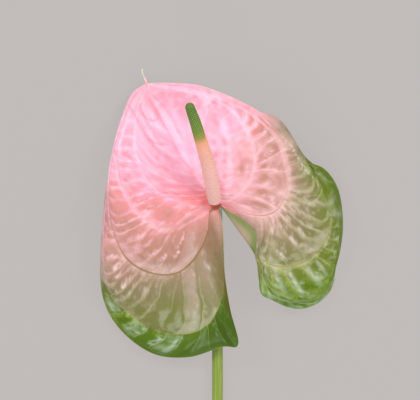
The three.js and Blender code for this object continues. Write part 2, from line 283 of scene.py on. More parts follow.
# Towards its top the green is painted paler, as painted light on the stretch that lies in the spathe's shade,
# then turns to the blood-red of the joint: mm from the top, where each colour begins and where it is full.
for shade, begins, full, amount in (((212, 224, 196), 60, 30, 0.9), ((226, 150, 134), 7.4, 5.6, 1),
                                    ((198, 100, 76), 5, 4, 1), ((150, 62, 38), 3.6, 2.4, 1)):
    green = green.blend(srgb(*shade), noted("from_top").step(begins, full) * amount)
finish_material(paint, Base_Color=green, Roughness=0.42, Coat_Weight=0.2, Coat_Roughness=0.3, Normal=bump)
stem = make_piece("green_stem", stem_points, closed_tube(stem_points), stalk, "stem")
note(stem, "from_top", np.repeat(from_top, STEM_SIDES))


# ---- Spathe ----
# The heart-shaped bract, one waxy sheet grown on the stem: vein loops run from the joint round each lobe to
# the tip, ribs cross between them, and the right lobe's inner margin is rolled over.
TIP = (-35.5, 62.0)
# Plan places in mm from the joint. Each row follows one vein loop or margin, from the joint to the tip.
NET = {
    "left_margin": [(2.8, -9), (3.4, -21.5), (4, -35), (6.8, -52.5), (10.6, -68.8), (2.5, -70),
     (-14.5, -75.2), (-32.7, -73.2), (-49, -60.8), (-57.4, -44.4), (-58.3, -21.5), (-55.8, 3.4), (-52.7, 25),
     (-48.5, 42), (-43, 56.3)],
    "left_outer": [(1.5, -8.5), (2, -20.5), (2.8, -32.5), (2.5, -41.5), (1, -49), (-3, -57), (-11, -62.2),
     (-25.5, -63.2), (-41, -55.5), (-52.8, -42.5), (-56.3, -24.5), (-54.8, 4.5), (-52.2, 25), (-48, 41.5),
     (-42.6, 55.8)],
    "left_lobe": [(-0.8, -4), (-1.5, -9), (-3, -14.5), (-5.2, -20), (-8.5, -25.2), (-13, -30), (-19.5, -34),
     (-28.5, -34.5), (-38.5, -31), (-46.5, -23.5), (-51.8, -11), (-53.8, 6), (-52, 25), (-47.8, 41),
     (-42, 55)],
    "left_front": [(-1.6, -1.2), (-3.5, -2.4), (-6.2, -3.9), (-9.5, -5.9), (-13.5, -8), (-17.5, -10),
     (-22.5, -11.5), (-28.5, -10.8), (-35, -7), (-41, -1.2), (-45.5, 6.5), (-48.8, 17), (-48.5, 28.5),
     (-45.5, 40.5), (-40.8, 53.5)],
    "left_inner": [(-1.1, -0.2), (-2.5, -0.2), (-4.2, 0), (-6.5, 0.2), (-9.2, 0.5), (-12.5, 1.2),
     (-16.2, 2.2), (-20.5, 3.5), (-25.2, 5.5), (-30, 8.5), (-34.8, 13.5), (-38.8, 21), (-40.8, 30),
     (-40.5, 40.5), (-38.5, 52)],
    "midrib": [(-0.6, 0.9), (-1.2, 1.8), (-1.8, 2.8), (-2.5, 3.8), (-3.2, 4.9), (-4, 6), (-5, 7.4), (-6.1, 9),
     (-7.4, 10.9), (-9, 13.3), (-11.2, 16.6), (-14.4, 21.5), (-18.9, 28.8), (-24.5, 38.6), (-30.3, 50.2)],
    "right_inner": [(1.2, 1), (2.5, 1.8), (4, 2.5), (5.8, 3.2), (7.8, 4.2), (10, 5.8), (12.5, 8), (15, 11),
     (17, 15), (18.5, 20), (18.8, 26.5), (17, 33), (13, 41), (4, 50.5), (-13.5, 57)],
    "right_front": [(6.3, -0.1), (11, -2), (16.8, -3.7), (21.8, -4.2), (25.8, -3.6), (28.9, -2.2),
     (31.3, 0.2), (33.2, 3.2), (34.7, 7), (35.6, 12.3), (35, 19.5), (32.5, 28.5), (27.5, 37), (11.5, 49.4),
     (-12.2, 58.1)],
    "right_lobe": [(7, -3), (12.2, -7.5), (16.3, -12.6), (19.5, -18.6), (21.6, -24.4), (26.5, -28.5),
     (35.5, -29.7), (45.5, -26.2), (53.2, -18.4), (56.5, -7.5), (52, 8.5), (42, 22.5), (34.2, 33.7),
     (15.6, 49.2), (-11, 59.4)],
    "right_outer": [(5, -5.6), (9.2, -12.8), (13.8, -18.2), (18, -22.3), (22.1, -29), (24.9, -38),
     (34, -44.7), (49.5, -45.5), (58, -29.5), (60.5, -10.5), (57, 10), (44, 22.8), (36.4, 34.3), (18.2, 49),
     (-9.6, 60.4)],
    "right_margin": [(2.2, -5), (3, -9), (4.2, -13), (5.6, -17), (8, -20.4), (11.5, -22.3), (15, -23.5),
     (18, -24.8), (19.9, -28.2), (20.9, -35.5), (22.2, -43.5), (28, -46.8), (35, -50), (42, -51), (49, -49),
     (54.5, -45), (58.2, -39), (59.5, -30.5), (61.5, -22.5), (63, -11.5), (62.5, 0), (60, 10.5), (53.8, 19),
     (45.5, 22.8), (40.8, 28), (38.1, 34.4), (30.6, 44.3), (19.4, 48.4), (6.2, 54.8), (-8.4, 60.7),
     (-23.5, 62.2)]}
# The directions in which the rows leave the joint and come in to the tip.
LEAVING = np.radians([-64, -78, -102, -142, -172, -240, -322, -358, -372, -382, -392])
ARRIVING = np.radians([212, 222, 234, 246, 262, 297, 326, 342, 351, 358, 365])
ROWS = [np.array([(0.2 * np.cos(leave), 0.2 * np.sin(leave)), *row,
                  (TIP[0] + 0.5 * np.cos(arrive), TIP[1] + 0.5 * np.sin(arrive))])
        for row, leave, arrive in zip(NET.values(), LEAVING, ARRIVING)]
STATIONS, BANDS, MIDDLE = 16, 10, 5
# Heights in mm over the surface at each station, along the midrib and along both margins.
CROWN_HEIGHTS, LEFT_HEIGHTS, RIGHT_HEIGHTS = np.array([
    [22, 22, 22.1, 22.3, 22.6, 22.9, 23.3, 23.7, 24.1, 24.5, 24.8, 24.7, 23.8, 21.5, 17, 10.5, 3.6],
    [22, 21, 19.5, 18, 16.5, 15.5, 12.5, 8, 5, 2.5, 0.7, -0.1, 0.4, 1.6, 2.6, 3.2, 3.6],
    [22, 21.5, 21, 20, 17.5, 13.5, 9, 6, 3, -0.1, 1.6, 6, 9.5, 6.5, 7.5, 6, 3.6]])
DRAPE = 2.6  # how late the blade falls away between midrib and margin
RIB_LEAN = 0.9  # stations that the net leans towards the tip in each band
COLLAR = 2.0  # mm, the hole round the stem
COLLAR_SHIFT, COLLAR_REACH = (-0.25, 1.15), 5  # mm that the tissue is drawn aside there, and how far out
THICKNESS = 0.9


def rise(value, low, high):
    """0 below low, 1 above high and a smooth rise between."""
    share = np.clip((value - low) / (high - low), 0, 1)
    return share * share * (3 - 2 * share)


def between(value, low, full, fading, gone):
    """Rises smoothly from low to full, stays at 1, and falls again from fading to gone."""
    return rise(value, low, full) * (1 - rise(value, fading, gone))


def along_row(values, share):
    """Uniform Catmull-Rom through evenly spaced values, its ends held: share runs from 0 to 1."""
    place = share * (len(values) - 1)
    first = np.clip(np.floor(place).astype(int), 0, len(values) - 2)
    part = place - first
    a, b, c, d = (values[np.clip(first + step, 0, len(values) - 1)] for step in (-1, 0, 1, 2))
    if values.ndim > 1:
        part = part[..., None]
    return b + 0.5 * part * (c - a + part * (2 * a - 5 * b + 4 * c - d + part * (3 * (b - c) + d - a)))


def rolled(points):
    """Rolls over what lies beyond a line that leaves the joint and bends away down the cleft: up round a
    small radius through most of a half turn, then straight on, back over the blade, with its length kept."""
    heading, outward = np.array([0.594, -0.804]), np.array([-0.804, -0.594])
    start, bend, bending = (3.2, -1.0), 28, 0.42  # mm, where the line starts and bends, and how much
    radius, turn = 1.3, 0.93 * np.pi
    plan = points[:, :2] - start
    past = plan @ heading - bend
    length = plan @ outward - bending * (past + np.hypot(past, 2)) + radius
    angle = np.clip(length / radius, 0, turn)
    rest = length - angle * radius
    reach = radius * np.sin(angle) + rest * np.cos(angle) - length
    lift = radius * (1 - np.cos(angle)) + rest * np.sin(angle)
    moved = points + np.column_stack([outward[0] * reach, outward[1] * reach, lift])
    return np.where((length > 0)[:, None], moved, points)


def blade(u, w):
    """The spathe's middle surface, in mm from the joint, and the width of the band it is in. u runs from
    the joint to the tip and w from the left margin over the midrib, at 5, to the right one, at 10. A point
    lies on a smooth curve through the rows, and between crown and margin its height falls off as the share
    of the way out to the power of DRAPE. Near the joint it is pushed out round the collar."""
    lean = RIB_LEAN / STATIONS * between(u, 0.2, 0.55, 0.55, 1)
    rows = np.stack([along_row(row, np.minimum(1, u + lean * abs(i - MIDDLE)))
                     for i, row in enumerate(ROWS)], 1)
    each = np.arange(len(u))
    widths = np.linalg.norm(np.diff(rows, axis=1), axis=2)
    band = np.clip(np.floor(w).astype(int), 0, BANDS - 1)
    share = (w - band)[:, None]

    def slope(i):
        """The slope across the rows at row i, measured between its neighbours, per width of this band."""
        before, after = np.maximum(i - 1, 0), np.minimum(i + 1, BANDS)
        span = widths[each, before] + np.where(after - before > 1, widths[each, np.minimum(i, BANDS - 1)], 0)
        return (rows[each, after] - rows[each, before]) * (widths[each, band] / span)[:, None]

    a, b = rows[each, band], rows[each, band + 1]
    plan = (a + (b - a) * share ** 2 * (3 - 2 * share)
            + slope(band) * share * (1 - share) ** 2 - slope(band + 1) * share ** 2 * (1 - share))
    sums = np.hstack([np.zeros((len(u), 1)), np.cumsum(widths, axis=1)])
    from_left = sums[each, band] + share[:, 0] * widths[each, band]
    left_width, on_left = sums[:, MIDDLE], w < MIDDLE
    outward = np.abs(from_left - left_width) / np.where(on_left, left_width, sums[:, -1] - left_width)
    station = np.minimum(1, u + lean * outward * MIDDLE)
    edge = np.where(on_left, along_row(LEFT_HEIGHTS, station), along_row(RIGHT_HEIGHTS, station))
    crown = along_row(CROWN_HEIGHTS, u)
    height = crown + (edge - crown) * outward ** DRAPE - JOINT[2]
    from_joint = np.hypot(*plan.T)
    opened = 1 + COLLAR / from_joint / (1 + (from_joint / COLLAR) ** 2)
    drawn = np.exp(-(from_joint / COLLAR_REACH) ** 2)[:, None] * COLLAR_SHIFT
    points = np.column_stack([plan * opened[:, None] + drawn, height])
    curls = (w > BANDS - 2.5) & (u < 0.5)
    points[curls] = rolled(points[curls])
    return points, widths[each, band]


# The ribs of each band: the stations where they leave its inner vein, the one nearer the midrib, and those
# where they meet its outer one. The tip closes each band. Bands are numbered from the left margin.
RIBS = [
    ([2, 4.6, 4.9, 5.2, 5.45, 5.8, 6.1, 6.4, 6.6, 6.8, 7.1, 7.3, 7.5, 7.65, 7.8, 8, 8.2, 8.6, 9, 9.5, 10,
     10.7, 11.5, 12.5, 14],
     [1.5, 4.5, 4.85, 5.15, 5.4, 5.7, 5.95, 6.15, 6.35, 6.55, 6.8, 7, 7.2, 7.35, 7.5, 7.65, 7.8, 8.1, 8.4,
      8.8, 9.2, 9.7, 10.4, 11.3, 13]),
    ([2, 4, 4.75, 5.62, 5.8, 6.21, 6.5, 6.8, 7, 7.25, 7.45, 7.65, 8.05, 8.3, 8.7, 9.1, 9.5, 10, 10.5, 11,
     11.6, 12.3, 13, 14],
     [1, 3.9, 5.45, 5.9, 6.3, 6.6, 6.85, 7, 7.12, 7.3, 7.5, 7.7, 7.94, 8.1, 8.3, 8.45, 8.65, 8.95, 9.3, 9.7,
      10.2, 10.9, 11.8, 13]),
    ([2, 3.6, 4.92, 5.6, 6, 6.66, 7.01, 7.46, 7.82, 8.13, 8.9, 9.53, 10.02, 10.5, 10.99, 11.4, 11.9, 12.5,
     13.1, 13.8, 14.6],
     [2, 4.2, 6, 6.6, 7.07, 7.53, 7.93, 8.31, 8.66, 8.97, 9.35, 9.7, 9.95, 10.25, 10.53, 10.9, 11.5, 12.1,
      12.7, 13.4, 14.2]),
    ([2, 4.35, 6.2, 7.54, 8.3, 9.11, 10, 11, 11.5, 12.3, 13.1, 13.9, 14.8],
     [2.6, 6.3, 6.95, 7.74, 8.35, 9.05, 9.9, 10.72, 11.4, 12.1, 12.9, 13.7, 14.6]),
    ([3, 5, 6.5, 8, 9.5, 11, 12.6, 13.8],
     [4, 6.5, 8.3, 10, 11.8, 13.2, 14.5, 15.3]),
    ([3, 5, 6.7, 8.2, 9.6, 10.9, 12.1, 13.3],
     [3, 5.2, 7.2, 8.9, 10.4, 11.9, 13.2, 14.3]),
    ([2, 4, 5.8, 7.5, 8.6, 9.2, 10.14, 11.2, 11.9, 12.6, 13.3, 14.2],
     [2, 3.8, 5.6, 7.2, 9.2, 10.4, 11.6, 12.3, 12.9, 13.4, 14, 14.8]),
    ([2, 3.5, 4.3, 5.04, 5.6, 6.18, 6.75, 7.34, 7.74, 8.5, 9.36, 9.9, 10.4, 10.85, 11.4, 12.1, 12.8, 13.5,
     14.4],
     [2.6, 4.8, 5.8, 6.6, 7.1, 7.45, 7.8, 8.4, 8.8, 9.15, 9.5, 9.9, 10.3, 10.75, 11.2, 11.9, 12.6, 13.3,
      14.2]),
    ([3, 4.6, 5.2, 5.64, 6.17, 6.59, 6.93, 7.2, 7.54, 7.8, 8.2, 8.7, 9.3, 9.9, 10.5, 11.04, 11.6, 12.3, 13.2,
     14.2],
     [3, 4.9, 5.5, 5.94, 6.42, 6.67, 6.82, 6.97, 7.15, 7.32, 7.65, 8.03, 8.5, 9, 9.35, 9.7, 10.3, 11, 12,
      13.2]),
    ([3, 4.5, 5, 5.3, 5.65, 5.8, 6, 6.2, 6.5, 6.9, 7.2, 7.5, 7.9, 8.2, 8.5, 9.1, 9.8, 10.4, 11, 11.7, 12.5,
     13.5],
     [3, 4.3, 4.7, 5, 5.2, 5.4, 5.55, 5.75, 6, 6.3, 6.6, 6.9, 7.3, 7.65, 8, 8.4, 8.8, 8.95, 9.1, 9.8, 10.8,
      12.3])]
SWEEP = [1, 1, 1, 1, 1.8, 1.6, 1, 1, 1, 1]  # how late in its band a rib turns towards the tip
MOST_CELLS = 60  # more than any band has
COLUMNS = [12, 24, 24, 20, 18, 22, 18, 24, 20, 14]  # mesh columns in each band, left to right
LENGTHS = 392  # mesh rows from joint to tip
PUFF = 1.15  # mm that the tissue swells between veins
PUCKER = 0.17  # mm of fine, uneven relief
# Each vein's pale band: its half width in mm, and how pale it is.
VEIN_WIDTH = np.array([1, 0.9, 0.9, 1.8, 1.2, 1.5, 1.5, 1.9, 1.5, 1, 1])
VEIN_PALE = np.array([0, 0.5, 0.4, 0.7, 0.4, 0.1, 0.7, 0.8, 0.7, 0.55, 0])
# Some veins have a thin brown line along them: the row's number, stations, and how strong it is at each.
VEIN_LINES = [
    (1, [0, 2, 5, 7], [0.3, 0.4, 0.2, 0]), (2, [0, 1, 7.4, 8.3, 9.5], [1, 1, 1, 0.4, 0]),
    (3, [0, 1, 3], [0, 0.6, 0]), (7, [0, 0.8, 5, 7], [0.2, 0.5, 0.6, 0.1]),
    (8, [4, 5, 7.2, 8.2], [0, 0.35, 0.35, 0])]
# Pale strands, each with its reach to either side in mm and how pale it is: the midrib, a vein right of the
# spadix, its two cross veins and the swelling beside it, the left lobe's front ridge, and two right ribs.
STRANDS = [
    ([(-33.5, 57.5), (-28.5, 51), (-23.5, 41), (-18.5, 31), (-12.5, 19.5), (-7, 9.5)], 1.7, 0.2),
    ([(-8, 59), (-3, 51), (0.5, 44.5), (3, 38.8), (5.6, 34.5), (6.1, 28.5), (6.6, 23), (6.6, 17), (4.5, 7)],
     1, 1.2),
    ([(5.6, 34.7), (9, 36), (13.5, 38.3)], 0.8, 0.7),
    ([(2, 42), (4.5, 44.5), (7.3, 47)], 0.8, 0.7),
    ([(-9, 57), (-5, 48), (-1, 40), (0.5, 33.5), (1.8, 29), (1.3, 22), (2.1, 17.5), (2, 12)], 1.2, 0.6),
    ([(-36, -3.5), (-29, -7.5), (-24, -8.4), (-19, -6.4), (-12.5, -4.4), (-6, -2.2)], 1.8, 0.9),
    ([(31.5, 33), (34.3, 36.6)], 0.6, 0.7), ([(33.5, 29.5), (37, 32.5)], 1.5, 0.5),
]
# Painted sheen: long satin streaks on the right lobe's green, a pale colour standing for the wax's
# reflection, each with its reach to either side in mm and its strength.
PAINTED_SATIN = [
    ([(24, -31), (24.8, -37)], 1, 0.7), ([(28.2, -31), (31, -37), (34.6, -43.2)], 1.4, 0.7),
    ([(35.5, -31), (38.5, -37), (43.2, -43.8)], 1.3, 0.9), ([(45, -30.5), (48, -35), (51.8, -39)], 1.2, 1),
    ([(49.6, -27.5), (52, -30.5), (54, -33)], 1, 0.9), ([(53, -14), (50, -18), (45, -21)], 2.4, 0.8),
    ([(57, -3), (60.5, -3.5)], 1.6, 0.8), ([(49, 3), (54, 1), (56.5, 2.5)], 1.1, 0.8),
]
# Fine creases in the crown that belong to no vein loop, as plan places in mm from the joint; each is dented
# a little and darkened with painted shade.
CREASE_REACH = 0.6
CREASES = [
    [(-44, 50.6), (-39.5, 42.8), (-36, 37), (-33.8, 33.2), (-29.5, 31.3), (-23.8, 30.6)],
    [(-30.3, 25), (-26.7, 20.6), (-23.1, 16.3), (-18.1, 12.8), (-12, 9)],
    [(-38.1, 51.3), (-38.8, 48.5), (-36.3, 45), (-33.1, 42.8), (-30.3, 42.8), (-29.4, 46), (-32.5, 50.6)],
    [(-34.2, 54.2), (-30.3, 48.5), (-27.4, 42.8), (-22.4, 33.5), (-18.1, 24.2), (-12.4, 18.5)],
    [(-32.4, 56.3), (-26.7, 50), (-21, 41.4), (-17, 33)],
    [(-49.5, 27.8), (-49.5, 22), (-48.8, 16.3), (-47.5, 10.6)],
    [(-1.5, 44), (1.2, 38), (3.2, 33.5), (4.1, 29.5), (4.2, 25), (3.4, 21), (3.8, 17.5), (3.2, 13.5), (1, 8)],
    [(-3, 37), (-1, 29.5), (-0.4, 25), (-0.8, 21), (0.5, 17), (0.3, 12)],
]

seed = np.random.default_rng(7)
u_lines = np.linspace(0.003, 1, LENGTHS + 1)
shares = [np.arange(n) / n for n in COLUMNS]
shares = [s - 0.5 * np.sin(2 * np.pi * s) / (2 * np.pi) for s in shares]  # closer together at the veins
band_of = np.append(np.repeat(np.arange(BANDS), COLUMNS), BANDS - 1)
share_of = np.concatenate(shares + [[1.0]])
vein_rows = np.tile(np.arange(BANDS + 1, dtype=float), (LENGTHS + 1, 1))
# The left lobe's brown vein runs along the one next to it at first, and draws away from it by station 3.
vein_rows[:, 2] += np.interp(u_lines * STATIONS,
                             [2, 2.5, 3, 4, 5, 6, 7.5], [0.97, 0.65, 0.36, 0.2, 0.1, 0.05, 0])
w_grid = vein_rows[:, band_of] * (1 - share_of) + vein_rows[:, band_of + 1] * share_of
u_grid = np.broadcast_to(u_lines[:, None], w_grid.shape)
k_grid = u_grid * STATIONS
columns = w_grid.shape[1]
middle, band_width = blade(u_grid.ravel(), w_grid.ravel())
middle = middle.reshape(*w_grid.shape, 3)
band_width = band_width.reshape(w_grid.shape)


def rib_phases(k, band, outward):
    """The rib number, counted along its band: whole on a rib, and in step with the stations in between. A rib
    goes from its inner station to its outer one as the outward share does, to the power of the sweep."""
    inner, outer = (np.array([*stations, STATIONS], float) for stations in RIBS[band])
    return np.interp(k, inner + (outer - inner) * outward ** SWEEP[band], np.arange(len(inner)))


out_share = np.where(band_of < MIDDLE, 1 - share_of, share_of)  # 0 at a band's inner vein, 1 at its outer
rib_phase = np.stack([rib_phases(k_grid[:, i], band_of[i], out_share[i]) for i in range(columns)], 1)
rib_gap = (np.linalg.norm(np.gradient(middle, axis=0), axis=2)
           / np.maximum(np.gradient(rib_phase, axis=0), 0.004))
rib_gap = np.clip(rib_gap, 0.5, 12)  # mm from rib to rib

normal = np.cross(np.gradient(middle, axis=1), np.gradient(middle, axis=0))
normal /= np.linalg.norm(normal, axis=2)[..., None]
toward_up = rise(u_grid, 0.9, 1)[..., None]
normal = normal * (1 - toward_up) + np.array([0, 0, 1.0]) * toward_up
normal /= np.linalg.norm(normal, axis=2)[..., None]


def uneven(places, wave, count=26):
    """A blotchy field between about -1 and 1: waves of random direction, of about the given length in mm."""
    angles, lengths = seed.uniform(0, 2 * np.pi, count), wave * seed.uniform(0.7, 1.6, count)
    waves = 2 * np.pi / lengths * np.stack([np.cos(angles), np.sin(angles)])
    return np.sin(places @ waves + seed.uniform(0, 2 * np.pi, count)).sum(-1) / np.sqrt(count)


def by_cell(low, high):
    """A random number for each cell, which is what lies between two ribs of a band."""
    return seed.uniform(low, high, MOST_CELLS * BANDS)[(cell + MOST_CELLS * band_of).astype(int)]


plan = middle[..., :2]
wander = 0.07 * uneven(plan, 11) + 0.02 * uneven(plan, 4)  # ribs are not quite straight
cell = np.floor(rib_phase + wander)
within = rib_phase + wander - cell  # 0 and 1 on ribs, 0.5 midway
fullness = by_cell(0.55, 1.25)
tilt = by_cell(-0.35, 0.35)
in_band = np.sin(np.pi * share_of) ** 0.75
# The right lobe's outer two veins run out towards the tip, and what lies beyond them swells as one band.
for vein, fading, gone in ((8, 6.4, 7.4), (7, 7.6, 8.4)):
    joined = (w_grid > vein) * rise(k_grid, fading, gone)
    swelling = np.sin(np.pi * np.clip((w_grid - vein) / (BANDS - vein), 0, 1)) ** 0.75
    in_band = in_band * (1 - joined) + joined * swelling
domed = np.sin(np.pi * within ** np.exp(tilt)) ** 0.8
to_margin = np.minimum(w_grid, BANDS - w_grid) * band_width
# Where the relief is full, and not calmed by the margin, the joint, the tip or a narrow band.
calm = rise(to_margin, 0.5, 5) * between(k_grid, 2.2, 5.5, 14.6, 15.8) * rise(band_width, 2, 10)
calm *= 1 - 0.95 * rise(w_grid, 8.4, 9) * (1 - rise(k_grid, 5.5, 7.5))
calm *= 1 - 0.85 * rise(w_grid, 7.7, 8.3) * rise(k_grid, 8.6, 9.6)
size = np.clip(rib_gap / 3.2, 0.35, 1.2)
relief = PUFF * in_band * calm * (0.4 + 0.6 * domed * fullness * size)
ribwise = np.stack([3.0 * rib_phase + 17.0 * band_of, 0.3 * out_share * band_width], -1)
streaks = uneven(ribwise, 1.6) + 0.8 * uneven(ribwise, 3.0)  # drawn out along the ribs
relief += PUCKER * in_band * calm * (streaks + 0.7 * uneven(plan, 4.5))


def drawn_lines(lines):
    """The strongest of some smooth lines, each given by its plan places, its reach to either side in mm and
    its strength: that strength on the line, and beside it a bell of the distance over the reach."""
    fields = []
    for places, reach, strength in lines:
        stops = smooth_path(np.column_stack([places, np.zeros(len(places))]), 60)[:, :2]
        away = np.min([np.hypot(*(plan - stop).transpose(2, 0, 1)) for stop in stops], axis=0)
        fields.append(strength * np.exp(-(away / reach) ** 2))
    return np.max(fields, axis=0)


def bell(x, y, reach_x, reach_y):
    """1 at a plan place, and falling off all round it with these reaches in mm."""
    return np.exp(-((plan[..., 0] - x) / reach_x) ** 2 - ((plan[..., 1] - y) / reach_y) ** 2)


def along_columns(numbers, rows):
    """A field from rows of a number, stations and values there: the mesh columns with that number take the
    values, evenly from stop to stop, and all others are 0."""
    field = np.zeros(w_grid.shape)
    for number, stations, values in rows:
        field[:, numbers == number] = np.interp(u_lines * STATIONS, stations, values)[:, None]
    return field


# Where the creases run: the blade is dented there, and its colour darkened as painted shade.
creased = drawn_lines([(places, CREASE_REACH, 1) for places in CREASES])
strand = drawn_lines(STRANDS)
relief *= 0.25 + 0.75 * rise(normal[..., 2], 0.2, 0.8)  # the steep flanks are smoother
relief -= 0.2 * creased
half = THICKNESS / 2 * (0.35 + 0.65 * np.clip(to_margin / 2.5, 0, 1) ** 0.6)
upper = middle + normal * (relief + half)[..., None]
lower = (middle + normal * (relief * 0.8 - half)[..., None])[::2, ::2]

top = np.arange(upper[..., 0].size).reshape(upper.shape[:2])
under = np.arange(lower[..., 0].size).reshape(lower.shape[:2]) + top.size


def rim(fine, coarse):
    """Triangles between two edges, where the coarse one has every second point of the fine one."""
    a, b, c, low, high = fine[:-2:2], fine[1::2], fine[2::2], coarse[:-1], coarse[1:]
    return np.concatenate([np.stack(t, 1) for t in ((low, a, b), (low, b, high), (high, b, c))])


rims = np.concatenate([rim(top[:, 0], under[:, 0]), rim(top[::-1, -1], under[::-1, -1]),
                       rim(top[0, ::-1], under[0, ::-1]), rim(top[-1], under[-1])])
wax, paint, place = new_material("waxy_bract")
faces = quads(top), quads(under)[:, ::-1], rims
spathe = make_piece("waxy_spathe", np.concatenate([upper.reshape(-1, 3), lower.reshape(-1, 3)]), faces,
                    wax, "spathe")


def on_both(grid):
    """A grid over the upper face, and after it every second of its rows and columns, for the lower one."""
    return np.concatenate([grid.ravel(), grid[::2, ::2].ravel()])


def beyond(places, line):
    """How far in mm each plan place lies outside a line that goes round the middle of the pink, measured
    along the ray from there: its distance less the line's own, which runs evenly from stop to stop."""
    def ray(points):
        """The direction from the middle of the pink in degrees, from 90 down to -270, and the distance."""
        away = np.asarray(points, float) - PINK_MIDDLE
        angle = np.degrees(np.arctan2(away[..., 1], away[..., 0]))
        return np.where(angle > 90, angle - 360, angle), np.hypot(away[..., 0], away[..., 1])
    angles, distances = ray(line)
    angle, distance = ray(places)
    return distance - np.interp(angle, angles, distances)


# The pink of a young bract turns through buff to green, lobes first. Each line joins places of one ripeness,
# from the left margin round the lobes to the upper right one: 0 is pink, 1 is green.
PINK_MIDDLE = (-10, 25)
RIPE_LINES = {
    0.15: [(-70, 14), (-56, 6), (-50, -6), (-38, -8), (-31, -11), (-23, -11), (-16, -9), (-10, -7), (-5, -6),
     (0, -1), (5, 0), (10, 2), (14, 8), (16, 14), (18, 22), (18, 30), (22, 40), (26, 54)],
    0.3: [(-70, -26), (-57, -26), (-47, -21), (-35, -19), (-25, -17), (-17, -17), (-10, -12), (-4, -10),
     (0, -3), (5, -1), (15, -5), (26, -5), (31, 2), (33, 11), (34, 20), (32.5, 28), (27, 38), (31, 54)],
    0.5: [(-70, -38), (-56, -37), (-43, -36.5), (-31, -34), (-20, -33), (-10, -27), (-3, -22), (3, -17),
     (8, -6), (14, -8), (22, -13), (32, -10), (35, -1), (38, 8), (39.5, 16), (39, 25), (35, 38), (42, 50)],
    0.9: [(-70, -43), (-58, -43), (-54, -49), (-47, -55), (-38, -59), (-24, -63), (-10, -63), (2, -55),
     (7, -30), (12, -23), (19, -31), (29, -32), (39, -31.5), (50, -27), (56.5, -17), (57, -3), (52.5, 8),
     (51, 14), (46, 21), (50, 30), (60, 38)]}
RIPE_SCALE, RIPE_START = 1 / 2.4, 0.25  # from ripeness to the place on the colour ramps below
# Each band is a little riper or less ripe than its neighbours, so the colour steps at the veins.
BAND_SHIFT = np.array([0.1, 0, -0.06, -0.04, 0, 0, 0, 0.02, 0.08, 0.08])
lines = list(RIPE_LINES)
past = [beyond(plan, RIPE_LINES[level]) for level in lines]
ripeness = lines[0] + past[0] / 80
for level, next_level, here, there in zip(lines, lines[1:], past, past[1:]):
    part = here / np.maximum(here - there, 2.0)
    ripeness = np.where(here > 0, level + (next_level - level) * np.clip(part, 0, 1), ripeness)
ripeness = np.where(past[-1] > 0, lines[-1] + past[-1] / 28, ripeness)
# Places that differ from their band: x and y, the reach in both in mm, how much paler, how much riper.
SPOTS = [
    (-14, -21, 17, 16, -0.34, 0), (-13, -18, 7, 9, -0.45, 0.07), (-47, -1, 5, 8, -0.35, 0.03),
    (-41.5, -8, 4, 6, -0.3, 0.02), (-32, 2.5, 5, 3.5, -0.5, 0.1), (-25, -3, 5.5, 4, -0.5, 0.12),
    (-16, 24, 7, 12, -0.22, 0), (-44, 32, 9, 15, 0.25, 0), (-11, 57, 26, 10, -0.38, 0),
    (10, 11, 8, 6, 0.25, 0), (4, 16, 5, 9, 0.22, 0), (12.5, 20, 4, 6, -0.3, 0.04), (4, 42, 9, 12, -0.1, 0),
    (12, 22, 12, 22, 0.06, 0), (48, 17, 5, 5, -0.15, 0.1), (54, 4, 4, 10, -0.35, 0.1),
    (33.5, 40, 3.2, 4.5, -0.4, 0.05), (40, 27, 3.5, 4, -0.25, 0.05), (35, -48, 14, 5, -0.15, 0),
    (15, 0, 5, 3, 0.35, -0.03), (17, -15, 4, 6, 0.2, -0.05), (4, 57, 17, 4, 0.5, 0),
    (-17, -33, 5, 4, 0.3, -0.02), (-23, -51, 5, 8, -0.3, 0.12)]
spot_light = np.zeros(w_grid.shape)
for x, y, reach_x, reach_y, paler, riper in SPOTS:
    spot = bell(x, y, reach_x, reach_y)
    spot_light += paler * spot
    ripeness += riper * spot
ripeness += BAND_SHIFT[band_of] * rise(ripeness, 0.1, 0.35) * (1 - rise(k_grid, 10.5, 13))
ripeness += 0.4 * (band_of == 0) * between(k_grid, 3.4, 4.2, 6.6, 7.3)
near = np.where(share_of < 0.5, band_of, band_of + 1)  # the nearest row of the net
vein_mm = np.minimum(share_of, 1 - share_of) * band_width
vein_pale = VEIN_PALE[near] * (1 - 0.9 * np.isin(near, (1, 2)) * rise(k_grid, 7, 9.5))
vein_pale *= 1 - 0.9 * (near == 8) * rise(k_grid, 7.4, 8.4)
vein_pale *= 1 - 0.95 * (near == 9) * rise(k_grid, 5.8, 6.8)
vein_line = along_columns(near, VEIN_LINES)
# Brown shows through the green along the left lobe's inner margin.
CLEFT_STATIONS = [0, 1.2, 2.4, 3.3, 3.9, 4.4, 6]
cleft_brown = along_columns(band_of, [
    (0, CLEFT_STATIONS, [0.1, 0.3, 0.6, 0.65, 0.4, 0, 0]),
    (1, CLEFT_STATIONS, [0, 0.25, 0.6, 0.6, 0.45, 0.1, 0])])
# The blood-red of the joint runs out between the veins, furthest along the left of the midrib.
coral = along_columns(band_of, [
    (4, [0, 4, 7.5, 9.5, 12], [1.1, 0.9, 0.45, 0.25, 0]), (3, [0, 1.5, 3.2, 4.5], [1.2, 0.9, 0.35, 0]),
    (5, [0, 1.5, 3, 6], [0.6, 0.3, 0.15, 0]), (6, [0, 1.5, 3, 5], [0.5, 0.3, 0.1, 0]),
    (2, [0, 1, 2.5], [0.9, 0.5, 0]), (1, [0, 0.5, 1.3], [0.9, 0.5, 0]), (0, [0, 0.3, 0.8], [0.7, 0.3, 0]),
    (7, [0, 0.5, 2], [1, 0.5, 0])])
# Near the joint a darker red: partly the joint's own colour, partly painted shade under the spadix's foot.
joint_red_and_painted_shade = along_columns(band_of, [
    (4, [0, 1.2, 2, 3], [1, 0.85, 0.35, 0]), (3, [0, 0.9, 1.6, 2.4], [0.8, 0.5, 0.2, 0]),
    (2, [0, 1, 2], [0.6, 0.25, 0]), (1, [0, 0.6], [0.6, 0]), (0, [0, 0.5], [0.6, 0])])
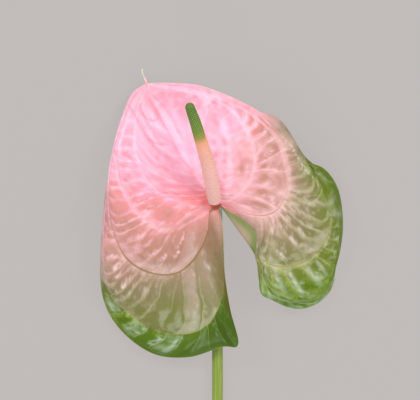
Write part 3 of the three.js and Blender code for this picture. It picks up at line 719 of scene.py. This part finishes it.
# How pale each band is on the whole, the painted light added on the lobes' steep slopes, and where bands are
# darker.
BAND_LIGHT = np.array([-0.05, -0.05, -0.12, -0.18, -0.12, 0, 0, 0, 0.04, -0.12])
flank = rise(1 - normal[..., 2], 0.2, 0.7)  # 1 where the blade stands steep
dull = np.maximum(flank, 0.95 * bell(56, 9, 9, 13))  # and where the wax has little gloss
tone_and_painted_light = BAND_LIGHT[band_of] + spot_light
# Painted light: steep slopes that are not yet green are made paler.
tone_and_painted_light += 0.36 * flank * (k_grid > 4) * (1 - rise(ripeness, 0.5, 0.75))
tone_and_painted_light -= along_columns(band_of, [
    (0, [3.2, 4.4, 5.6, 6.6], [0, 0.7, 0.75, 0]),
    (1, [1.6, 2.6, 4, 5, 6.3, 7.2], [0, 0.36, 0.44, 0.3, 0.2, 0]),
    (2, [1.2, 2.4, 3.6, 4.2, 5.2, 6.6], [0, 0.26, 0.24, 0.44, 0.36, 0])])
tone_and_painted_light += bell(-6, 54, 32, 9) * (0.14 * uneven(plan, 3.5) + 0.12 * uneven(plan, 7))
# Painted light: the upper flanks of both lobes are made paler.
tone_and_painted_light += 0.35 * np.isin(band_of, (0, 1, 9)) * rise(k_grid, 8.5, 10.5)
tone_and_painted_light -= 0.25 * (band_of >= 8) * between(k_grid, 6, 7, 8.2, 9.2)
# How much ribs and cells differ: less on the right shoulder and beside the midrib, by this much in each band.
FLATTER_OUT, FLATTER_IN = np.array([[0] * 8 + [0.5, 0.8], [0] * 4 + [0.4, 0.7] + [0] * 4])
contrast = 1 - FLATTER_OUT[band_of] * rise(k_grid, 7.5, 9)
contrast *= 1 - FLATTER_IN[band_of] * rise(k_grid, 3.5, 6)
# Painted sheen, a pale colour standing for the wax's reflection, lies on one side of a rib, in streaks. Some
# cells carry painted satin all over and painted shade at their low side, and two are dull: the band, the cell
# and how much its painted sheen differs.
PAINTED_SATIN_CELLS = [(1, 1, 0.3), (1, 2, 0.55), (1, 3, -0.8), (1, 4, -0.4), (2, 1, 0.3)]
painted_glints = streaks + 0.9 * uneven(ribwise, 0.8) + 0.4 * uneven(plan, 2.2)
painted_sheen = 1.6 * rise(painted_glints, 0.2, 1.5) * rise(1 - within, 0.2, 0.9) * by_cell(0.25, 1)
for band, satin_cell, amount in PAINTED_SATIN_CELLS:
    in_cell = (band_of == band) & (cell == satin_cell)
    painted_sheen += amount * in_cell * np.sin(np.pi * np.clip(within, 0, 1)) ** 0.5
    # Painted shade: the low side of a satin cell is darkened and loses its painted sheen.
    painted_shade_side = (in_cell & (k_grid > 3)) * (1 - rise(within, 0.1, 0.45))
    painted_sheen *= 1 - 0.9 * painted_shade_side
    tone_and_painted_light -= 0.5 * painted_shade_side
# More painted sheen: a band beside the left lobe's brown vein, patches on the right lobe's outer band, and
# (below) a rim along the right lobe's lower margin.
painted_sheen += 0.5 * (band_of == 2) * rise(out_share, 0.7, 0.9) * between(k_grid, 4, 5, 7.5, 9)
painted_sheen += 0.6 * (band_of == 8) * between(k_grid, 6.5, 8, 10.5, 12) * rise(uneven(plan, 8), 0.2, 1.2)
painted_sheen *= (1 - 0.6 * (band_of == 9) * rise(k_grid, 4.6, 5.6)) * (1 - 0.7 * dull)
painted_sheen += drawn_lines(PAINTED_SATIN)
# Along the left lobe's green rim, cells with painted satin sheen take turns with plain ones.
edged = rise(np.minimum(within, 1 - within), 0.02, 0.2)
by_turns = (cell.astype(int) % 2 * 1.4 - 0.7 + 0.3 * streaks) * edged
painted_sheen += (band_of == 0) * between(k_grid, 5.1, 5.7, 7.6, 8.4) * by_turns
painted_sheen *= 1 - 0.85 * (band_of == 0) * (1 - rise(k_grid, 4.3, 4.9))
painted_sheen = np.maximum(painted_sheen, 0) * np.sqrt(calm * in_band) * (0.45 + 0.55 * rise(ripeness, 0.15, 0.35))
painted_sheen += (band_of == 9) * between(k_grid, 4.5, 4.9, 6.0, 6.5) * np.clip(0.4 + 0.4 * streaks, 0, 1)
shaded = along_columns(band_of, [(0, [1.5, 2.8, 3.6, 4.7, 6], [0, 0.4, 0.65, 0.85, 0])])
shaded *= np.sin(np.pi * share_of) ** 0.3
for name, values in dict(
        ripeness=ripeness, painted_sheen=painted_sheen, contrast=contrast, vein=vein_mm / VEIN_WIDTH[near], vein_mm=vein_mm,
        vein_pale=vein_pale, vein_line=vein_line, margin_mm=to_margin, coral=coral, joint_red_and_painted_shade=joint_red_and_painted_shade,
        calm=calm, rib_gap=rib_gap, wander=wander, cleft_brown=cleft_brown, tone_and_painted_light=tone_and_painted_light,
        streaks=streaks, creased=creased, strand=strand, shaded=shaded, dull=dull).items():
    note(spathe, name, on_both(values))
note(spathe, "underside", np.repeat([0.0, 1.0], [top.size, under.size]))

# The rib number and the outward share, corner by corner, since both jump from band to band.
corners = np.concatenate([alike.ravel() for alike in faces])
totals = np.concatenate([np.full(*alike.shape) for alike in faces])  # how many corners each face has
rows, cols = (on_both(grid)[corners] for grid in np.indices(top.shape))
left_most = np.repeat(np.minimum.reduceat(cols, np.cumsum(totals) - totals), totals)
corner_band = band_of[np.minimum(left_most, columns - 2)]
corner_share = np.where(cols == np.cumsum(COLUMNS)[corner_band], 1.0, share_of[cols])
outward = np.where(corner_band < MIDDLE, 1 - corner_share, corner_share)
phase = np.empty(len(corners))
for band in range(BANDS):
    picked = corner_band == band
    for share in np.unique(outward[picked]):
        same = picked & (outward == share)
        phase[same] = rib_phases(u_lines[rows[same]] * STATIONS, band, share) + MOST_CELLS * band
spathe.data.uv_layers.new(name="ribs").data.foreach_set(
    "uv", np.stack([phase, outward], 1).astype(np.float32).ravel())

rib_uv = paint.node("UVMap", {}, uv_map="ribs")
ribs = paint.node("SeparateXYZ", {"Vector": rib_uv}, out="X") + noted("wander")
across = paint.node("SeparateXYZ", {"Vector": rib_uv}, out="Y")
inside = (across * np.pi).math("SINE")
number, cell_number = ribs.math("ROUND"), ribs.math("FLOOR")
rib_luck, cell_luck = (paint.node("TexWhiteNoise", {"W": each}, out="Value", noise_dimensions="1D")
                       for each in (number, cell_number + 0.37))
rib_mm = (ribs - number).math("ABSOLUTE") * noted("rib_gap")
in_cell = ((ribs - cell_number) * np.pi).math("SINE")
clouds, specks = noise(110.0, 3.0), noise(900.0, 2.0)
blotches = noise(330.0, 3.0, Roughness=0.6)
calmed = noted("calm")
ripe = noted("ripeness") + (clouds - 0.5) * 0.2 + (blotches - 0.5) * 0.15
ripe = ripe * RIPE_SCALE + RIPE_START
rib_light = (1 - rib_mm.step(0.15, 0.75)) * (0.25 + 0.75 * rib_luck) * (0.4 + 0.9 * blotches)
rib_light = rib_light * calmed * noted("contrast") * (1 - 0.5 * ripe.step(0.42, 0.52))
vein_light = (1 - noted("vein").step(0.25, 1.1)) * noted("vein_pale") + 0.75 * noted("strand")
cell_dark = in_cell.step(0.2, 1.0) * inside.step(0.15, 0.9) * calmed * noted("contrast")
fine = (blotches - 0.5) * 0.9 + (specks - 0.5) * 0.4
light = (0.5 - 0.12 * ripe.step(0.4, 0.6) + noted("tone_and_painted_light")
         + (cell_luck - 0.5) * 0.35 * calmed * ripe.step(0.35, 0.6)
         + 0.5 * rib_light + 0.45 * vein_light - cell_dark * (0.16 + 0.5 * cell_luck)
         + noted("streaks") * 0.12 * calmed + (clouds - 0.5) * (0.5 + 0.3 * ripe.step(0.3, 0.4))
         + fine * (0.5 + 0.5 * ripe.step(0.25, 0.4) + 0.5 * ripe.step(0.6, 0.75)))
light = light.node("Clamp", {"Value": light})
deep = ripe.ramp((0, 240, 164, 190), (0.21, 236, 152, 172), (0.27, 224, 142, 144), (0.333, 190, 132, 120),
    (0.417, 162, 126, 106), (0.5, 136, 122, 88), (0.583, 118, 118, 60), (0.667, 102, 116, 34),
    (0.79, 88, 112, 8), (1, 76, 108, 4))
pale = ripe.ramp((0, 255, 212, 238), (0.21, 254, 202, 224), (0.27, 250, 192, 208), (0.333, 236, 180, 186),
    (0.417, 218, 176, 170), (0.5, 198, 172, 152), (0.583, 182, 172, 142), (0.667, 170, 172, 108),
    (0.79, 150, 168, 76), (1, 130, 158, 50))
colour = deep.blend(pale, light)
# The painted sheen: a pale colour standing for the wax's reflection, laid over the tissue by the stored
# painted sheen.
painted_sheen_colour = ripe.ramp((0, 255, 206, 232), (0.27, 255, 204, 222), (0.417, 232, 194, 192), (0.583, 192, 178, 160),
    (0.79, 166, 184, 146), (1, 148, 170, 130))
rib_line = (1 - rib_mm.step(0.1, 0.4)) * calmed * ripe.step(0.42, 0.5)
colour = colour.blend(srgb(146, 158, 100), rib_line * (0.4 + 0.5 * rib_luck))
painted_sheen_share = noted("painted_sheen") * (0.25 + blotches)
colour = colour.blend(painted_sheen_colour, painted_sheen_share.node("Clamp", {"Value": painted_sheen_share}))
brown = noted("cleft_brown")
for shade, amount in (
        ((58, 84, 12), noted("shaded")), ((112, 82, 44), brown * (0.3 + 0.9 * blotches)),
        ((252, 120, 112), noted("coral") * (0.3 + 0.5 * clouds + 0.3 * blotches)),
        # The crease colour, a darker pink, is painted shade.
        ((184, 78, 54), noted("joint_red_and_painted_shade")), ((238, 134, 152), noted("creased") * 0.5),
        ((134, 102, 54), (1 - noted("vein_mm").step(0.15, 0.75)) * noted("vein_line") * 0.8),
        ((214, 200, 150), (1 - noted("margin_mm").step(0.1, 0.45)) * (1 - brown) * 0.45)):
    colour = colour.blend(srgb(*shade), amount)
backing = colour.blend(srgb(196, 178, 150), 0.45)
flap = (noted("margin_mm").step(0.5, 7.0) + (clouds - 0.5) * 0.3).ramp((0, 98, 120, 48), (0.2, 114, 126, 74),
    (0.45, 144, 138, 102), (1, 172, 146, 126))
colour = colour.blend(backing.blend(flap, 0.8), noted("underside"))
grain_bump = paint.node("Bump", {"Strength": 0.15, "Distance": 0.0004, "Height": blotches + specks * 0.5})
coat = (0.08 + 0.62 * ripe.step(0.3, 0.6)) * (1 - 0.5 * ripe.step(0.6, 0.72))
coat = coat * (1 - 0.75 * noted("underside")) * (1 - noted("shaded")) * (1 - 0.8 * noted("dull"))
finish_material(paint, Base_Color=colour, Roughness=0.5 + 0.15 * noted("underside"), Specular_IOR_Level=0.12,
                Coat_Weight=coat, Coat_Roughness=0.22, Normal=grain_bump)


# ---- Tip thread ----
# The dried end of the midrib, a thin pale thread that curls up off the tip of the spathe. It grew there, and
# is pink where the living tissue ends.
THREAD_SIDES, THREAD_RINGS = 14, 60
thread_path = smooth_path(
    [(-34.2, 59, -18.1), (-35.3, 61.5, -18.4), (-35.7, 63, -18.2), (-36.4, 64.8, -17.7), (-37.2, 66.8, -16.9),
     (-37.5, 68, -16.3), (-37.4, 69.2, -15.5)], THREAD_RINGS)
along_thread = np.linspace(0, 1, THREAD_RINGS)
thread_radii = np.interp(along_thread, [0, 0.2, 0.4, 0.6, 0.8, 1], [0.8, 0.75, 0.5, 0.42, 0.4, 0.3])
thread_radii += 0.04 * np.sin(17 * along_thread)  # a little knotty
thread_angles = np.linspace(0, 2 * np.pi, THREAD_SIDES, endpoint=False)
thread_points = rings_about(thread_path, thread_radii[:, None], thread_angles)
dried, paint, place = new_material("dried_thread")
toward_tip = paint.node("SeparateXYZ", {"Vector": place}, out="Y")
colour = toward_tip.step(0.155, 0.165).ramp((0, 236, 146, 152), (0.35, 240, 196, 196), (0.6, 208, 196, 178),
    (1, 222, 214, 200))
finish_material(paint, Base_Color=colour, Roughness=0.6)
make_piece("tip_thread", thread_points, closed_tube(thread_points), dried, "spathe")


# ---- Spadix ----
# The flower spike: a fleshy core packed with florets in slanting rows, each a small four-sided cushion.
# It is green at its tip, where the florets are young, and peach to cream below.
FLORETS_ROUND, FLORET_ROWS = 13, 78
SPADIX_SIDES, SPADIX_RINGS = 156, 470
spadix_plan = np.array([(-0.8, 2.8), (-1.1, 4.8), (-1.85, 10.6), (-4.3, 22.4), (-7.5, 32.8), (-10.2, 42.1),
                        (-12.2, 47.8), (-13.1, 51.1)])
climb = 4.3 + 0.7 * np.r_[0, np.cumsum(np.hypot(*np.diff(spadix_plan, axis=0).T))]
spadix_plan[:, 0] -= 0.6 * np.linspace(0, 1, len(spadix_plan)) + 0.2
spadix_stops = np.column_stack([spadix_plan, climb])
spadix_stops = np.vstack([spadix_stops[:1] - 0.8 * spadix_aim, spadix_stops])
spadix_path = smooth_path(spadix_stops, SPADIX_RINGS + 1)
along_spadix = np.linspace(0, 1, SPADIX_RINGS + 1)
TRUNK = np.array([3.3, 3.62, 3.78, 3.8, 3.68, 3.46, 3.2, 3.0, 2.85, 2.62, 2.3])
tip_share = np.clip((along_spadix - 0.965) / 0.035, 0, 1)
foot_share = np.clip(1 - along_spadix / 0.02, 0, 1)
trunk = along_row(TRUNK, along_spadix) * np.sqrt(1 - 0.95 * tip_share ** 2) * (1 - 0.3 * foot_share ** 2)
spadix_angles = 2 * np.pi * np.arange(SPADIX_SIDES) / SPADIX_SIDES
turn = FLORETS_ROUND * spadix_angles / (2 * np.pi)
row = along_spadix[:, None] * FLORET_ROWS / 2
first, second = turn + row, turn - row
cushion = np.sqrt(np.abs(np.sin(np.pi * first) * np.sin(np.pi * second)))
dimple = np.exp(-((first % 1 - 0.5) ** 2 + (second % 1 - 0.5) ** 2) / 0.02)
fade = (1 - tip_share ** 2)[:, None]
spadix_radii = trunk[:, None] + 0.08 - (0.42 * (1 - cushion) + 0.1 * dimple) * fade
spadix_points = rings_about(spadix_path, spadix_radii, spadix_angles)
fleshy, paint, place = new_material("florets")
spadix = make_piece("floret_spadix", spadix_points, closed_tube(spadix_points), fleshy, "spadix")
note(spadix, "cushion", cushion)
note(spadix, "up", np.repeat(along_spadix, SPADIX_SIDES))
up = noted("up")
ripening = up + (noise(300.0, 2.0) - 0.5) * 0.02
ground = ripening.ramp((0, 222, 172, 164), (0.35, 229, 175, 168), (0.55, 234, 168, 147),
    (0.625, 233, 160, 124), (0.68, 146, 140, 54), (0.73, 104, 126, 34), (0.85, 84, 118, 26), (1, 68, 106, 26))
dots = ripening.ramp((0, 236, 192, 184), (0.55, 245, 191, 171), (0.61, 240, 183, 148), (0.66, 180, 170, 92),
    (0.75, 150, 170, 84), (1, 124, 158, 70))
colour = ground.blend(dots, noted("cushion").step(0.55, 0.95) * 0.8)
groove = 1 - noted("cushion").step(0.05, 0.4)
colour = colour.blend(srgb(120, 84, 60), groove * (0.12 + 0.25 * up.step(0.4, 0.8)))
finish_material(paint, Base_Color=colour, Roughness=0.5, Subsurface_Weight=0.1,
                Subsurface_Radius=(0.002, 0.001, 0.0006))
